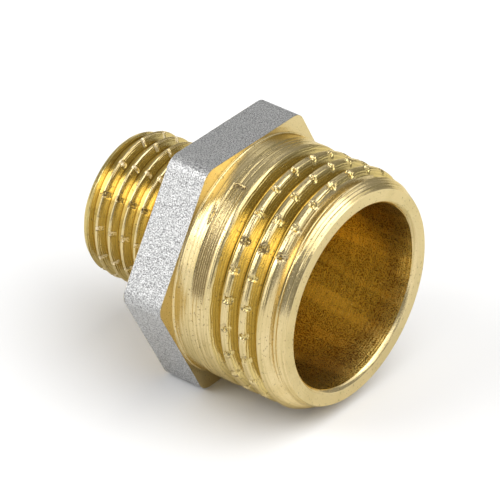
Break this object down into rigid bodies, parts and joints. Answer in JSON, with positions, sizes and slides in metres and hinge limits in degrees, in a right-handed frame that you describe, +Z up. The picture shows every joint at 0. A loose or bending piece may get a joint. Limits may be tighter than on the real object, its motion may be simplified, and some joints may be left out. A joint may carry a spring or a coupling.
{
  "type": "hex nipple",
  "caption": "Reducing hex nipple: hexagon with a larger male pipe thread on one side, a smaller male pipe thread on the other and a stepped through bore.",
  "frame": {"origin": "on the bore axis, at the middle of the overall length", "axes": "+X along the bore axis, out of the G 1/2 end; +Z up, square to the top wrench flat; the corners of the hexagon point along +Y and -Y"},
  "size_m": [0.0236, 0.0238, 0.021],
  "materials": {
    "brass": "bright turned brass",
    "nickel": "sandblasted nickel plate, matt grey"
  },
  "bodies": {
    "root": {"nipple_body": "brass", "hex_plating": "nickel"}
  },
  "joints": []
}
